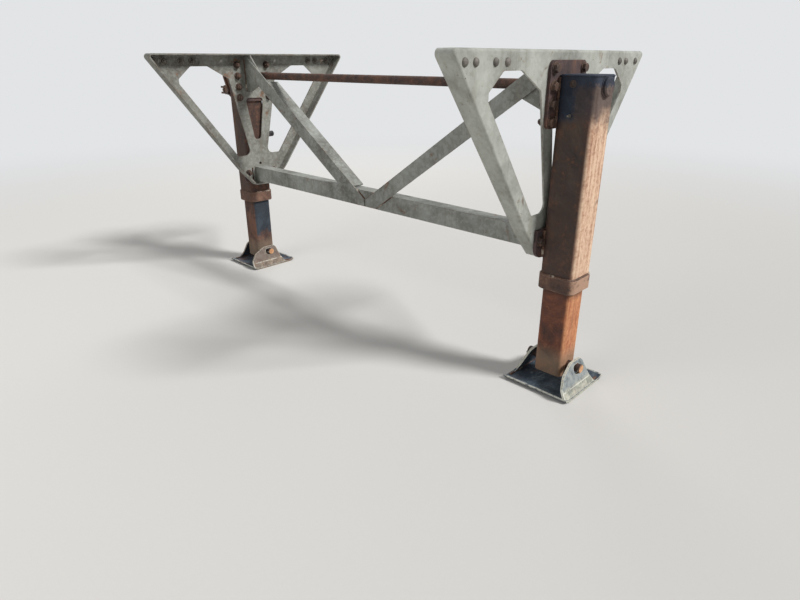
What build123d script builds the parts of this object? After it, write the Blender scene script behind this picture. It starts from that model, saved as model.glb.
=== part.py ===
from build123d import *

import os
from math import atan2, cos, degrees, radians, sin

# Landing gear of a semi trailer: two square telescoping legs on sand shoes, each bolted to a
# cut-out wing bracket, tied together by a K-shaped brace and driven by one cross shaft.
# X points forward, Y to the left and Z up. The origin is the middle of the plane in which the top
# flanges of both brackets bolt up against the floor beams. Every size is in millimetres.

# Overall places
leg_track = 1900.0  # between the axes of the two legs
ground_drop = 1100.0  # from the bolting plane down to the ground under the shoes

# Outer leg: square tube, its cap, and the collar round its lower end
outer_width = 124.0
outer_wall = 5.5
outer_corner = 21.0
outer_top_drop = 71.0
outer_length = 664.0
cap_thickness = 4.0
cap_inset = 1.0
collar_height = 50.0
collar_wall = 5.5
collar_lip = 6.0
collar_corner = 26.5
collar_bevel = 2.5  # round its lower edge
collar_top_bevel = 1.2
slip_fit = 0.3  # around parts that slide in one another

# Inner leg
leg_gap = 4.25  # all round, inside the outer leg
inner_wall = 6.0
inner_corner = 17.0
inner_length = 720.0
leg_end_gap = 44.0  # from the ground up to the lower end of the inner leg

# Sand shoe and its axle
shoe_length = 254.0
shoe_width = 254.0
shoe_plate = 8.0
shoe_lip_rise = 9.0
shoe_lip_run = 22.0
axle_height = 78.0
axle_diameter = 32.0
axle_stub = 12.0  # how far the axle stands out of each cheek
axle_fit = 0.08
cheek_plate = 8.0
cheek_fold_height = 34.0
cheek_fold_half = 112.0  # from the shoe's middle to the outer face at the fold
cheek_crown_half = 82.0  # the same at the crown, above the axle
cheek_bend = 12.0
cheek_rim = 10.0  # over the axle
cheek_front_rise = 42.0  # the upright part of the edge that meets the base's corner
cheek_shoulder_x = 96.0
cheek_shoulder_height = 78.0
cheek_crown_front = 34.0
cheek_crown_rear = 38.0
cheek_waist_x = 54.0
cheek_waist_height = 40.0
cheek_heel_x = 76.0
cheek_slot_travel = 14.0
shoe_lip_bend = 16.0

# Wing bracket: pressed plate with its flanges turned inboard
bracket_plate = 6.0
bracket_flange = 64.0
bracket_tip_flange = 46.0
bracket_bend = 9.0
bracket_corner = 14.0
bracket_half_length = 548.0
bracket_drop = 638.0
bracket_tip_half = 60.0
bracket_knee_rise = 88.0  # from the lower end up to the foot of the sloping edges
bracket_knee_half = 140.0
web_arm = 50.0  # from a sloping edge to the opening beside it
web_rail = 55.0  # from the top flange down to the openings
web_opening_nose = 22.0
web_opening_nose_drop = 108.0
web_opening_corner = 16.0
web_opening_foot_corner = 28.0
web_opening_toe_corner = 14.0
web_post_half = 133.0  # at the shoulders of the middle post
web_post_drop = 112.0
web_post_foot_half = 47.0
web_nose_slope = 1.2  # run for each unit of rise, from the nose up to the rail
web_shoulder_slope = 1.85  # the same, from the post's shoulder up to the rail
web_foot = 63.0  # from the openings down to the foot of the sloping edges
slot_top_drop = 206.0
slot_top_half = 52.0
slot_foot = 140.0  # from the slot down to the foot of the sloping edges
slot_foot_half = 18.0
slot_corner = 16.0
drain_hole_radius = 6.5
drain_hole_rise = 14.0  # above the lower brace

# Mounting plate of the leg, and the lug below it
mount_plate = 10.0
mount_plate_half = 105.0
mount_plate_top = 28.0
mount_plate_height = 194.0
mount_plate_corner = 22.0
mount_bolt_spacing = 168.3
mount_bolt_pitch = 50.8
mount_bolt_rows = 4
mount_bolt_edge = 22.0
lug_half = 98.0
lug_height = 96.0
lug_rise = 2.0  # from the bracket's lower end up to the lug
lug_corner = 38.0
lug_bolt_spacing = 156.0
lug_bolt_rise = 58.0

# Bolt holes
bolt_hole_radius = 8.7
floor_hole_radius = 7.2
floor_beam_pitch = 304.8
floor_hole_inset = 36.0  # from the outboard face of the bracket to the holes of its top flange

# Braces: rolled angles with a rounded root and toes
brace_web = 70.0
brace_shelf = 60.0
brace_wall = 6.0
brace_rise = 90.0  # from the bracket's lower end up to the top of the lower brace
brace_face_x = 39.0  # front face of the lower brace
diagonal_web = 60.0
diagonal_shelf = 60.0
diagonal_foot = 39.0  # where the diagonals' upper edges would meet, below the top of the lower brace
diagonal_top_drop = 20.0
diagonal_top_inset = 49.0  # from the bracket's outboard face to the diagonal's upper end
diagonal_middle_gap = 3.0  # from the middle plane to each diagonal's square end
diagonal_lap = 4.0  # the lower brace shows this much below a diagonal's end
diagonal_clearance = 8.0  # between the cross shaft and the diagonal's shelf
brace_tab_half = 52.0
brace_tab_height = 66.0
gusset_reach = 136.0
gusset_height = 170.0
gusset_foot = 40.0
gusset_lap = 52.0  # behind the diagonal

# Cross shaft
shaft_drop = 100.0
shaft_diameter = 33.0
shaft_wall = 3.8
stub_fit = 0.1
stub_reach = 98.0  # from the inboard face of the leg
stub_overlap = 60.0
bearing_rim = 14.3
bearing_relief = 2.0  # between the bearing and the hole in the bracket
bearing_proud = 4.0  # beyond the bracket's web
shaft_hole_relief = 1.0
shaft_cap_radius = 28.0
shaft_cap_reach = 13.0
shaft_cap_bevel = 4.0
stub_depth = 86.0  # into the leg

# Gearbox and crank on the right leg
gear_lobe_radius = 55.0  # round the cross shaft's axis
pinion_lobe_radius = 36.0  # round the crank's axis
gear_centres = 76.0
gearbox_depth = 34.0
cover_flange = 6.0
cover_flange_reach = 9.0
cover_dome = 22.0
cover_dome_slope = 16.0  # of its height, from the top down
cover_dome_inset = 7.0  # from the foot of the slope to the dome's flat face
cover_ear_radius = 9.0
cover_ears_per_lobe = 3
cover_ear_spread = 75.0  # degrees between neighbouring ears
crank_boss_rim = 9.0
crank_boss_reach = 12.0
crank_shaft_diameter = 25.4
crank_shaft_reach = 80.0
crank_rod = 19.0
crank_extension = 150.0
crank_radius = 250.0
crank_grip_length = 120.0
crank_bend = 32.0
crank_end = 14.0  # from the fold pin to the rod's end
grip_diameter = 32.0
grip_bevel = 5.0
yoke_width = 38.0
yoke_socket = 30.0
yoke_fork = 46.0
yoke_pin_radius = 5.0
yoke_pin_head = 4.0
hook_plate = 6.0
hook_offset = 194.0  # below the crank's axis
hook_width = 42.0
hook_rim = 14.0  # around the crank arm
hook_foot = 60.0

# Values worked out from the sizes above
leg_y = leg_track / 2
inboard_face = leg_y - outer_width / 2
outboard_face = leg_y + outer_width / 2
plate_face = inboard_face - mount_plate
web_inner_face = plate_face - bracket_plate
flange_edge = plate_face - bracket_flange
inner_width = outer_width - 2 * outer_wall - 2 * leg_gap
inner_bottom = -ground_drop + leg_end_gap
axle_z = -ground_drop + axle_height
collar_bottom = -outer_top_drop - outer_length - collar_lip
collar_width = outer_width + 2 * collar_wall
bracket_knee_drop = bracket_drop - bracket_knee_rise
lug_top = bracket_drop - lug_rise - lug_height
lug_bolt_z = -lug_top - lug_height + lug_bolt_rise
brace_top_drop = bracket_drop - brace_rise
diagonal_foot_drop = brace_top_drop + diagonal_foot
diagonal_top_y = plate_face - diagonal_top_inset
diagonal_rise = (diagonal_foot_drop - diagonal_top_drop) / diagonal_top_y
shaft_bore = shaft_diameter / 2 - shaft_wall
bearing_radius = shaft_bore + bearing_rim
crank_axis_drop = shaft_drop + gear_centres
hook_drop = crank_axis_drop + hook_offset
gearbox_face = outboard_face + gearbox_depth
cover_face = gearbox_face + cover_flange + cover_dome
crank_shaft_end = gearbox_face + crank_shaft_reach
cheek_top = axle_height + axle_diameter / 2 + cheek_rim
fold_pin_y = crank_shaft_end + yoke_fork / 2
cheek_slope = (cheek_fold_half - cheek_crown_half) / (cheek_top - cheek_fold_height)
axle_half = cheek_fold_half - cheek_slope * (axle_height - cheek_fold_height) + axle_stub


def mirror_to(side, shape):
    """A left-hand shape as it is, or its mirror image on the right."""
    if side == "left":
        return shape
    return mirror(shape, about=Plane.XZ)


def rounded_square(width, radius):
    return RectangleRounded(width, width, radius)


def upright(face, outboard_y, thickness):
    """A face drawn as X and Z, laid with its outboard side at Y and its thickness inboard."""
    plane = Plane(origin=(0, outboard_y, 0), x_dir=(1, 0, 0), z_dir=(0, -1, 0))
    return extrude(plane * face, thickness)


def across(radius, x, z, y_from, y_to):
    """A round bar or hole along Y."""
    plane = Plane(origin=(x, y_from, z), x_dir=(1, 0, 0), z_dir=(0, 1, 0))
    return extrude(plane * Circle(radius), y_to - y_from)


def along(face, x_from, length):
    """A face drawn as Y and Z, carried forward along X."""
    plane = Plane(origin=(x_from, 0, 0), x_dir=(0, 1, 0), z_dir=(1, 0, 0))
    return extrude(plane * face, length)


def outline(points):
    return make_face(Polyline(*points, close=True))


def rounded_outline(corners):
    """A face from corners in order, each given as its two places and its radius."""
    face = outline([(a, b) for a, b, radius in corners])
    for a, b, radius in corners:
        if radius:
            face = fillet(face.vertices().sort_by_distance((a, b, 0))[0], radius)
    return face


def mirrored_outline(half):
    """A face from the points of its front half, the first and the last at any X."""
    return outline(half + [(-x, z) for x, z in reversed(half)])


def outer_leg():
    tube = extrude(rounded_square(outer_width, outer_corner), outer_length)
    bore_width = outer_width - 2 * outer_wall
    tube -= extrude(rounded_square(bore_width, outer_corner - outer_wall), outer_length)
    tube = Pos(0, leg_y, -outer_top_drop - outer_length) * tube
    return tube - across(shaft_bore + shaft_hole_relief, 0, -shaft_drop, inboard_face - 1, leg_y)


def leg_cap():
    width = outer_width - 2 * cap_inset
    cap = extrude(rounded_square(width, outer_corner - cap_inset), cap_thickness)
    cap = chamfer(cap.edges().group_by(Axis.Z)[-1], cap_thickness / 2)
    return Pos(0, leg_y, -outer_top_drop) * cap


def leg_collar():
    sleeve = extrude(rounded_square(collar_width, collar_corner), collar_height)
    sleeve = chamfer(sleeve.edges().group_by(Axis.Z)[0], collar_bevel)
    sleeve = chamfer(sleeve.edges().group_by(Axis.Z)[-1], collar_top_bevel)
    seat = extrude(rounded_square(outer_width + 0.1, outer_corner), collar_height)
    passage = extrude(rounded_square(inner_width + 2 * slip_fit, inner_corner + slip_fit), collar_height)
    sleeve = sleeve - Pos(0, 0, collar_lip) * seat - passage
    return Pos(0, leg_y, collar_bottom) * sleeve


def inner_leg():
    tube = extrude(rounded_square(inner_width, inner_corner), inner_length)
    bore_width = inner_width - 2 * inner_wall
    tube -= extrude(rounded_square(bore_width, inner_corner - inner_wall), inner_length)
    tube = Pos(0, leg_y, inner_bottom) * tube
    hole = across(axle_diameter / 2 + axle_fit, 0, axle_z, leg_y - inner_width, leg_y + inner_width)
    return tube - hole


def shoe_axle():
    bar = across(axle_diameter / 2, 0, axle_z, leg_y - axle_half, leg_y + axle_half)
    return chamfer(bar.edges().filter_by(GeomType.CIRCLE), 2.0)


def shoe_cheek():
    """One cheek of a shoe: a flared skirt, then a plate that leans in to its crown round the axle.

    Seen from the side, its front edge rises from the base's corner and its rear edge is cut back.
    """
    foot_y = shoe_width / 2
    wall = cheek_plate / cos(atan2(cheek_slope, 1))
    section = rounded_outline(
        [
            (foot_y, 0, 0),
            (cheek_fold_half, cheek_fold_height, cheek_bend),
            (cheek_crown_half, cheek_top, 0),
            (cheek_crown_half - wall, cheek_top, 0),
            (cheek_fold_half - wall, cheek_fold_height, cheek_bend - cheek_plate),
            (foot_y - wall, 0, 0),
        ]
    )
    toe = shoe_length / 2
    flat = toe - shoe_lip_run
    profile = rounded_outline(
        [
            (flat, 0, 0),
            (toe, shoe_lip_rise, 0),
            (toe, cheek_front_rise, 24),
            (cheek_shoulder_x, cheek_shoulder_height, 40),
            (cheek_crown_front, cheek_top, 40),
            (-cheek_crown_rear, cheek_top, 22),
            (-cheek_waist_x, cheek_waist_height, 60),
            (-cheek_heel_x, shoe_plate, 14),
            (-flat, shoe_plate, 0),
            (-toe, shoe_lip_rise + shoe_plate, 0),
            (-toe, shoe_lip_rise, 0),
            (-flat, 0, 0),
        ]
    )
    hole = SlotCenterToCenter(cheek_slot_travel, axle_diameter + 2 * axle_fit)
    plate = upright(profile - Pos(cheek_slot_travel / 2, axle_height) * hole, foot_y, foot_y)
    return along(section, -toe, shoe_length) & plate


def sand_shoe():
    """A base plate with its front and rear edges bent up, between two cheeks set half a turn apart."""
    flat = shoe_length / 2 - shoe_lip_run
    end = shoe_length / 2
    inner_bend = shoe_lip_bend - shoe_plate
    section = rounded_outline(
        [
            (-flat, 0, shoe_lip_bend),
            (flat, 0, shoe_lip_bend),
            (end, shoe_lip_rise, 0),
            (end, shoe_lip_rise + shoe_plate, 0),
            (flat, shoe_plate, inner_bend),
            (-flat, shoe_plate, inner_bend),
            (-end, shoe_lip_rise + shoe_plate, 0),
            (-end, shoe_lip_rise, 0),
        ]
    )
    base = upright(section, shoe_width / 2, shoe_width)
    cheek = shoe_cheek()
    return Pos(0, 0, -ground_drop) * (base + cheek + Rot(0, 0, 180) * cheek)


def edge_x(drop):
    """Where the bracket's sloping front edge is at a height."""
    return bracket_half_length - (bracket_half_length - bracket_knee_half) * drop / bracket_knee_drop


def web_outline():
    """The bracket seen from the side."""
    face = mirrored_outline(
        [
            (bracket_half_length, 0),
            (bracket_knee_half, -bracket_knee_drop),
            (bracket_tip_half, -bracket_drop),
        ]
    )
    return fillet(face.vertices(), bracket_corner)


def web_opening():
    """The front opening of the web, between the top rail, the sloping arm and the middle post."""
    lean = atan2(bracket_half_length - bracket_knee_half, bracket_knee_drop)
    arm = web_arm / cos(lean)
    nose_drop = web_opening_nose_drop + web_opening_nose
    nose_x = edge_x(nose_drop) - arm
    nose_height = web_opening_nose_drop - web_rail
    shoulder_height = web_post_drop - web_rail
    foot_drop = bracket_knee_drop - web_foot
    corner = web_opening_corner
    return rounded_outline(
        [
            (nose_x, -nose_drop, web_opening_nose / 2),
            (nose_x, -web_opening_nose_drop, web_opening_nose / 2),
            (nose_x - nose_height * web_nose_slope, -web_rail, corner),
            (web_post_half + shoulder_height * web_shoulder_slope, -web_rail, corner),
            (web_post_half, -web_post_drop, corner),
            (web_post_foot_half, -foot_drop, web_opening_foot_corner),
            (edge_x(foot_drop) - arm, -foot_drop, web_opening_toe_corner),
        ]
    )


def web_slot():
    """The tapered slot of the middle post."""
    foot_drop = bracket_knee_drop - slot_foot
    face = mirrored_outline([(slot_top_half, -slot_top_drop), (slot_foot_half, -foot_drop)])
    return fillet(face.vertices(), slot_corner)


def wing_bracket():
    skin = upright(web_outline(), plate_face, bracket_flange)
    outer_edges = skin.edges().filter_by(lambda e: abs(e.bounding_box().min.Y - plate_face) < 0.01)
    skin = fillet(outer_edges, bracket_bend)
    room = upright(offset(web_outline(), -bracket_plate), web_inner_face, bracket_flange)
    bend_edges = room.edges().filter_by(lambda e: abs(e.bounding_box().min.Y - web_inner_face) < 0.01)
    room = chamfer(bend_edges, bracket_bend - bracket_plate)
    bracket = skin - room
    taper = outline(
        [
            (flange_edge, 0),
            (plate_face - bracket_tip_flange, -bracket_drop),
            (plate_face - bracket_tip_flange, -bracket_drop - 1),
            (flange_edge - 1, -bracket_drop - 1),
            (flange_edge - 1, 0),
        ]
    )
    bracket -= along(taper, -bracket_half_length, 2 * bracket_half_length)
    opening = upright(web_opening(), plate_face + 1, bracket_plate + 2)
    bracket -= opening + mirror(opening, about=Plane.YZ)
    bracket -= upright(web_slot(), plate_face + 1, bracket_plate + 2)
    for x, z in mounting_bolts() + lug_bolts():
        bracket -= across(bolt_hole_radius, x, z, web_inner_face - 1, plate_face + 1)
    bracket -= across(bearing_radius + bearing_relief, 0, -shaft_drop, web_inner_face - 1, plate_face + 1)
    drain_z = -brace_top_drop + drain_hole_rise
    bracket -= across(drain_hole_radius, 0, drain_z, web_inner_face - 1, plate_face + 1)
    for station in (-1.5, -0.5, 0.5, 1.5):
        hole = Pos(station * floor_beam_pitch, plate_face - floor_hole_inset, -bracket_plate - 1)
        bracket -= hole * extrude(Circle(floor_hole_radius), bracket_plate + 2)
    return bracket


def mounting_bolts():
    top = -mount_plate_top - mount_bolt_edge
    rows = [top - mount_bolt_pitch * row for row in range(mount_bolt_rows)]
    return [(side * mount_bolt_spacing / 2, z) for z in rows for side in (-1, 1)]


def lug_bolts():
    return [(side * lug_bolt_spacing / 2, lug_bolt_z) for side in (-1, 1)]


def mounting_plate():
    middle = -mount_plate_top - mount_plate_height / 2
    face = Pos(0, middle) * RectangleRounded(2 * mount_plate_half, mount_plate_height, mount_plate_corner)
    plate = upright(face, inboard_face, mount_plate)
    for x, z in mounting_bolts():
        plate -= across(bolt_hole_radius, x, z, plate_face - 1, inboard_face + 1)
    return plate - across(bearing_radius + bearing_relief, 0, -shaft_drop, plate_face - 1, inboard_face + 1)


def lower_lug():
    face = Pos(0, -lug_top - lug_height / 2) * Rectangle(2 * lug_half, lug_height)
    face = fillet(face.vertices().sort_by(Axis.Y)[:2], lug_corner)
    plate = upright(face, inboard_face, mount_plate)
    for x, z in lug_bolts():
        plate -= across(bolt_hole_radius, x, z, plate_face - 1, inboard_face + 1)
    return plate


def angle_bar(web, shelf, length):
    """A rolled angle along +Y from its heel at the origin: the web hangs down, the shelf runs rearward."""
    wall = brace_wall
    profile = rounded_outline(
        [
            (0, 0, 0),
            (0, -web, 0),
            (-wall, -web, wall * 0.6),
            (-wall, -wall, wall),
            (-shelf, -wall, wall * 0.6),
            (-shelf, 0, 0),
        ]
    )
    plane = Plane(origin=(0, 0, 0), x_dir=(1, 0, 0), z_dir=(0, -1, 0))
    return extrude(plane * profile, -length)


def lower_brace():
    end = web_inner_face
    brace = Pos(brace_face_x, -end, -brace_top_drop) * angle_bar(brace_web, brace_shelf, 2 * end)
    for side in (-1, 1):
        tab_y = side * (end - brace_wall / 2)
        tab_z = -brace_top_drop - brace_wall / 2 - brace_tab_height / 2
        brace += Pos(0, tab_y, tab_z) * Box(2 * brace_tab_half, brace_wall, brace_tab_height)
    return brace


def diagonal_edge(y, below=0.0):
    """A point on the diagonal's upper edge, or straight below it."""
    return (y, -diagonal_foot_drop + diagonal_rise * y - below)


def diagonal_brace():
    """The left diagonal: its web lies on the front of the lower brace and of the gusset."""
    lean = atan2(diagonal_rise, 1)
    start_y = -2 * diagonal_web
    bar = angle_bar(diagonal_web, diagonal_shelf, (diagonal_top_y - start_y) / cos(lean))
    shelf_from = (diagonal_foot + brace_wall / cos(lean) + diagonal_clearance / 2) / diagonal_rise
    shaft_foot = shaft_drop + shaft_diameter / 2 + diagonal_clearance
    shelf_to = (diagonal_foot_drop - shaft_foot) / diagonal_rise
    behind = -brace_wall - diagonal_shelf / 2
    for end_y, reach in ((shelf_from, -1), (shelf_to, 1)):
        cut_y = (end_y - start_y) / cos(lean) + reach * diagonal_top_y
        bar -= Pos(behind, cut_y, 0) * Box(diagonal_shelf, 2 * diagonal_top_y, 2 * diagonal_web)
    heel = diagonal_edge(start_y)
    bar = Pos(brace_face_x + brace_wall, heel[0], heel[1]) * Rot(degrees(lean), 0, 0) * bar
    foot_z = -brace_top_drop - brace_web + diagonal_lap
    bar -= Pos(0, diagonal_middle_gap - diagonal_top_y, 0) * Box(1000, 2 * diagonal_top_y, 4000)
    return bar - Pos(0, 0, foot_z - 1000) * Box(1000, 4000, 2000)


def brace_gusset():
    """A plate behind the diagonal's upper end, welded into the corner of the bracket."""
    outer_y = web_inner_face
    inner_y = outer_y - gusset_reach
    lap_from = diagonal_edge(inner_y, gusset_lap)
    lap_to = diagonal_edge(inner_y, diagonal_clearance)
    top = -bracket_plate
    snipe = bracket_bend - bracket_plate + 1
    face = outline(
        [
            (outer_y - snipe, top),
            (outer_y, top - snipe),
            (outer_y, top - gusset_height),
            (outer_y - gusset_foot, top - gusset_height),
            lap_from,
            lap_to,
            (flange_edge, top - bracket_plate),
            (flange_edge, top),
        ]
    )
    return along(face, brace_face_x - brace_wall, brace_wall)


def cross_shaft():
    end = inboard_face - stub_reach + stub_overlap
    tube = across(shaft_diameter / 2, 0, -shaft_drop, -end, end)
    return tube - across(shaft_bore, 0, -shaft_drop, -end, end)


def shaft_stub():
    radius = shaft_bore - stub_fit
    return across(radius, 0, -shaft_drop, inboard_face - stub_reach, inboard_face + stub_depth)


def shaft_bearing():
    ring = across(bearing_radius, 0, -shaft_drop, web_inner_face - bearing_proud, inboard_face)
    return ring - across(shaft_bore, 0, -shaft_drop, web_inner_face - bearing_proud, inboard_face)


def shaft_cap():
    cap = across(shaft_cap_radius, 0, -shaft_drop, outboard_face, outboard_face + shaft_cap_reach)
    return chamfer(cap.edges().group_by(Axis.Y)[-1], shaft_cap_bevel)


def gear_case(reach):
    """The pear-shaped outline round both gears, moved out by the reach."""
    gear = Pos(0, -shaft_drop) * Circle(gear_lobe_radius + reach)
    pinion = Pos(0, -crank_axis_drop) * Circle(pinion_lobe_radius + reach)
    return make_hull(gear.edges() + pinion.edges())


def cover_ears():
    """Where the cover's bolts are, as X and Z, spread round the outside of each lobe."""
    lobes = [
        (-shaft_drop, gear_lobe_radius, 90),
        (-crank_axis_drop, pinion_lobe_radius, -90),
    ]
    places = []
    for z, radius, facing in lobes:
        for ear in range(cover_ears_per_lobe):
            turn = radians(facing + (ear - (cover_ears_per_lobe - 1) / 2) * cover_ear_spread)
            reach = radius + cover_flange_reach
            places.append((reach * cos(turn), z + reach * sin(turn)))
    return places


def case_flange(outboard_y):
    """The flange round the case, with its ears for the cover's bolts."""
    rim = gear_case(cover_flange_reach)
    for x, z in cover_ears():
        rim += Pos(x, z) * Circle(cover_ear_radius)
    return upright(rim, outboard_y, cover_flange)


def gearbox_housing():
    """The case against the leg, with the flange that the cover bolts to."""
    return upright(gear_case(0), gearbox_face, gearbox_depth) + case_flange(gearbox_face)


def gearbox_lid():
    """The cast cover: a flange with ears, a tapered dome and a boss for the crank's shaft."""
    dome = upright(gear_case(0), cover_face, cover_dome)
    crown = dome.faces().sort_by(Axis.Y)[-1]
    dome = chamfer(crown.edges(), cover_dome_inset, cover_dome_slope, reference=crown)
    lid = case_flange(gearbox_face + cover_flange) + dome
    boss_radius = crank_shaft_diameter / 2 + crank_boss_rim
    lid += across(boss_radius, 0, -crank_axis_drop, gearbox_face, cover_face + crank_boss_reach)
    bore = crank_shaft_diameter / 2 + axle_fit
    return lid - across(bore, 0, -crank_axis_drop, gearbox_face, cover_face + crank_boss_reach)


def crank_shaft():
    return across(crank_shaft_diameter / 2, 0, -crank_axis_drop, gearbox_face, crank_shaft_end)


def fold_pin_hole(radius, length):
    hole = extrude(Circle(radius), length)
    return Pos(0, fold_pin_y, -crank_axis_drop - length / 2) * hole


def crank_yoke():
    length = yoke_socket + yoke_fork
    middle_y = crank_shaft_end - yoke_socket + length / 2
    block = Pos(0, middle_y, -crank_axis_drop) * Box(yoke_width, length, yoke_width)
    block = chamfer(block.edges().filter_by(Axis.Z), yoke_width / 5)
    gap_y = crank_shaft_end + yoke_fork / 2
    block -= Pos(0, gap_y, -crank_axis_drop) * Box(yoke_width, yoke_fork, crank_rod + 1)
    socket_radius = crank_shaft_diameter / 2 + stub_fit
    block -= across(socket_radius, 0, -crank_axis_drop, crank_shaft_end - yoke_socket, crank_shaft_end)
    return block - fold_pin_hole(yoke_pin_radius + stub_fit, yoke_width)


def crank_fold_pin():
    length = yoke_width + 2 * yoke_pin_head
    pin = fold_pin_hole(yoke_pin_radius, length)
    head = Pos(0, fold_pin_y, -crank_axis_drop + yoke_width / 2)
    return pin + head * extrude(Circle(yoke_pin_radius * 1.7), yoke_pin_head)


def crank_handle():
    z0 = -crank_axis_drop
    points = [
        (crank_end, fold_pin_y, z0),
        (-crank_extension, fold_pin_y, z0),
        (-crank_extension, fold_pin_y, z0 - crank_radius),
        (-crank_extension - crank_grip_length, fold_pin_y, z0 - crank_radius),
    ]
    path = FilletPolyline(*points, radius=crank_bend)
    start = Plane(origin=points[0], x_dir=(0, 1, 0), z_dir=(-1, 0, 0))
    rod = sweep(start * Circle(crank_rod / 2), path=path)
    return rod - fold_pin_hole(yoke_pin_radius + stub_fit, yoke_width)


def crank_grip():
    start_x = -crank_extension - crank_bend - grip_bevel
    origin = (start_x, fold_pin_y, -crank_axis_drop - crank_radius)
    plane = Plane(origin=origin, x_dir=(0, 1, 0), z_dir=(-1, 0, 0))
    length = crank_grip_length - crank_bend
    tube = extrude(plane * Circle(grip_diameter / 2), length)
    tube = chamfer(tube.edges().filter_by(GeomType.CIRCLE), grip_bevel)
    return tube - extrude(plane * Circle(crank_rod / 2 + stub_fit), length)


def crank_hook():
    """A flat bar welded to the leg, with a rounded end that the crank's arm clips into."""
    arm_x = -crank_extension
    reach = crank_rod / 2 + hook_rim
    face = outline(
        [
            (hook_width / 2, outboard_face),
            (-hook_width / 2, outboard_face),
            (arm_x - reach, fold_pin_y - reach),
            (arm_x - reach, fold_pin_y + reach),
            (arm_x + reach, fold_pin_y + reach),
            (hook_width / 2, outboard_face + hook_width),
        ]
    )
    face = fillet(face.vertices().sort_by(Axis.Y)[2:], hook_rim - 2)
    plate = Pos(0, 0, -hook_drop) * extrude(face, hook_plate)
    plate -= Pos(arm_x, fold_pin_y, -hook_drop) * extrude(Circle(crank_rod / 2 + slip_fit), hook_plate)
    middle_z = -hook_drop + hook_plate / 2
    plate -= Pos(arm_x - reach / 2, fold_pin_y, middle_z) * Box(reach + 1, crank_rod - 2, hook_plate)
    foot_z = -hook_drop - hook_foot / 2
    foot = Pos(0, outboard_face + hook_plate / 2, foot_z) * Box(hook_width, hook_plate, hook_foot)
    return plate + foot


paired_nodes = {
    "wing_bracket": wing_bracket,
    "mounting_plate": mounting_plate,
    "lower_lug": lower_lug,
    "outer_leg": outer_leg,
    "leg_cap": leg_cap,
    "leg_collar": leg_collar,
    "inner_leg": inner_leg,
    "shoe_axle": shoe_axle,
    "diagonal_brace": diagonal_brace,
    "brace_gusset": brace_gusset,
    "shaft_stub": shaft_stub,
    "shaft_bearing": shaft_bearing,
}
unhanded_nodes = {"sand_shoe": sand_shoe}
left_nodes = {"left_shaft_cap": shaft_cap}
middle_nodes = {"lower_cross_brace": lower_brace, "cross_shaft": cross_shaft}
right_nodes = {
    "gearbox_housing": gearbox_housing,
    "gearbox_cover": gearbox_lid,
    "crank_shaft": crank_shaft,
    "crank_yoke": crank_yoke,
    "crank_fold_pin": crank_fold_pin,
    "crank_handle": crank_handle,
    "crank_grip": crank_grip,
    "crank_hook": crank_hook,
}

os.makedirs("parts", exist_ok=True)
for name, make in paired_nodes.items():
    for side in ("left", "right"):
        export_step(mirror_to(side, make()), f"parts/{side}_{name}.step")
for name, make in unhanded_nodes.items():
    for side, y in (("left", leg_y), ("right", -leg_y)):
        export_step(Pos(0, y, 0) * make(), f"parts/{side}_{name}.step")
for name, make in left_nodes.items():
    export_step(make(), f"parts/{name}.step")
for name, make in middle_nodes.items():
    export_step(make(), f"parts/{name}.step")
for name, make in right_nodes.items():
    export_step(mirror_to("right", make()), f"parts/{name}.step")
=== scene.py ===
import math

import bpy
import numpy as np
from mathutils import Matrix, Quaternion, Vector


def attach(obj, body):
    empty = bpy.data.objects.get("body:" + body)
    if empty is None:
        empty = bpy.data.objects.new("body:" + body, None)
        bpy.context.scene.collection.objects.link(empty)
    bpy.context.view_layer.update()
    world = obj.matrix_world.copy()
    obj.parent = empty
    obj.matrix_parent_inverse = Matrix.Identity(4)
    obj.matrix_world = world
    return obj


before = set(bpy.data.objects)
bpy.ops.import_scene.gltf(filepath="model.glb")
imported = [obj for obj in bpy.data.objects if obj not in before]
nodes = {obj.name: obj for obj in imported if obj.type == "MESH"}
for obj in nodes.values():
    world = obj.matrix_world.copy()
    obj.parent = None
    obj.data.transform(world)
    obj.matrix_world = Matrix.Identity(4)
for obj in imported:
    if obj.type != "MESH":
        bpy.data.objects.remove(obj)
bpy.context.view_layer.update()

# Places on the landing gear, in metres: X forward, Y left, Z up from the plane of the floor bolts.
# The two sides mirror each other in y, apart from the shaft's cap and the gearbox with its crank.
SIDES = {"left": 1.0, "right": -1.0}
GROUND = -1.100

# Outer leg, the foot of its cap and the top of its collar
LEG_Y = 0.950
LEG_HALF = 0.062
LEG_CORNER = 0.021
LEG_INBOARD = LEG_Y - LEG_HALF
LEG_OUTBOARD = LEG_Y + LEG_HALF
CAP_FOOT = -0.071
COLLAR_TOP = -0.691

# The bracket's web, and the plate and lug on its outboard face
WEB_OUTBOARD = 0.878
WEB_INBOARD = 0.872
PLATE_FOOT = -0.222
LUG_TOP = -0.540
LUG_FOOT = -0.636

# Bolts
PLATE_BOLT_X = 0.08415
PLATE_BOLT_TOP = -0.050
PLATE_BOLT_PITCH = 0.0508
PLATE_BOLT_ROWS = 4
LUG_BOLT_X = 0.078
LUG_BOLT_Z = -0.578
RAIL_BOLT_X = (0.494, 0.450, 0.366, 0.313, -0.350, -0.398, -0.472)
RAIL_BOLT_Z = -0.033

# Lower brace with its end tabs, gussets, and the lower ends of the diagonals
BRACE_TOP = -0.548
BRACE_FACE_X = 0.039
TAB_HALF = 0.052
TAB_HEIGHT = 0.066
GUSSET_TOP = -0.022
GUSSET_FOOT = -0.172
DIAGONAL_FOOT = -0.6142

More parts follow.
